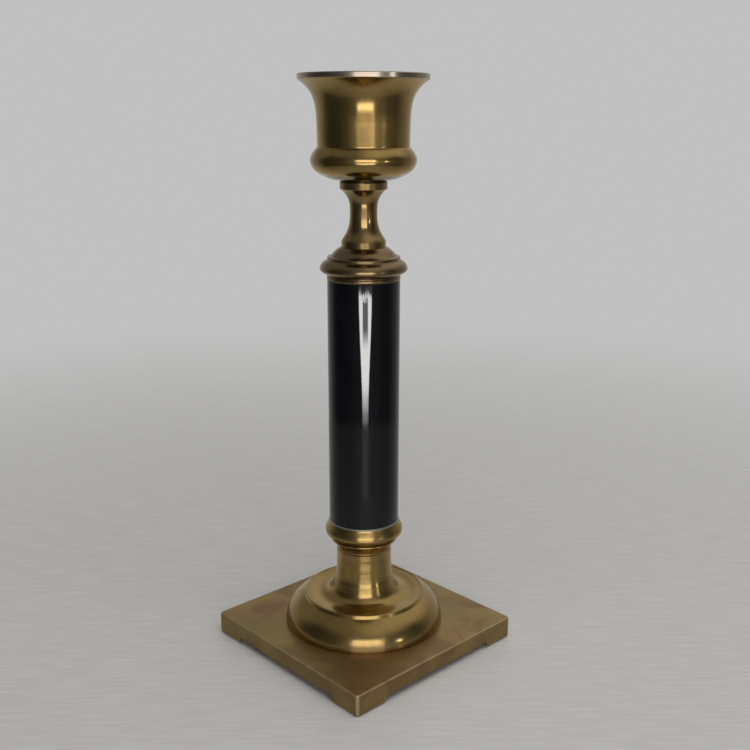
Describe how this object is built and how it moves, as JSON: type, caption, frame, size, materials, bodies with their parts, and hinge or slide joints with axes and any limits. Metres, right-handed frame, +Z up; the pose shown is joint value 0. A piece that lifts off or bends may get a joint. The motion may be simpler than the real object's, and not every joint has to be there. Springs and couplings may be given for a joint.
{
  "type": "altar candlestick",
  "caption": "Turned brass altar candlestick: black enamelled column on a square bracket-footed plate, with a flared candle cup that unscrews from its stem.",
  "frame": {"origin": "under the middle of the plate, on the surface that the feet stand on", "axes": "+Z up the axis of the column, X and Y along the plate's sides"},
  "size_m": [0.088, 0.088, 0.2305],
  "materials": {
    "plate_brass": "cast and brushed, patinated",
    "turned_brass": "turned, satin, aged",
    "cup_brass": "turned, satin, aged",
    "washer_brass": "dull, darkened",
    "pale_ring": "dull pale metal",
    "black_enamel": "gloss black enamel",
    "zinc_steel": "dull zinc plate",
    "spring_steel": "dark spring steel",
    "stud_steel": "plain steel"
  },
  "bodies": {
    "stand": {"base_plate": "plate_brass", "domed_foot": "turned_brass", "lower_collar": "turned_brass", "seat_ring": "pale_ring", "column_tube": "black_enamel", "upper_collar": "turned_brass", "neck_stem": "turned_brass", "tie_rod": "zinc_steel", "base_washer": "zinc_steel", "lock_washer": "spring_steel", "base_nut": "zinc_steel"},
    "washer": {"cup_washer": "washer_brass"},
    "cup": {"candle_cup": "cup_brass", "cup_stud": "stud_steel"}
  },
  "joints": [
    {"name": "cup_turn", "type": "hinge", "parent": "stand", "child": "washer", "pos_m": [0, 0, 0.1912], "axis": [0, 0, 1], "range_deg": [0, 2880]},
    {"name": "cup_rise", "type": "slide", "parent": "washer", "child": "cup", "axis": [0, 0, 1], "range_m": [0, 0.008]}
  ],
  "couplings": [
    {"joint": "cup_rise", "follows": "cup_turn", "m_per_rad": 0.00015915}
  ]
}
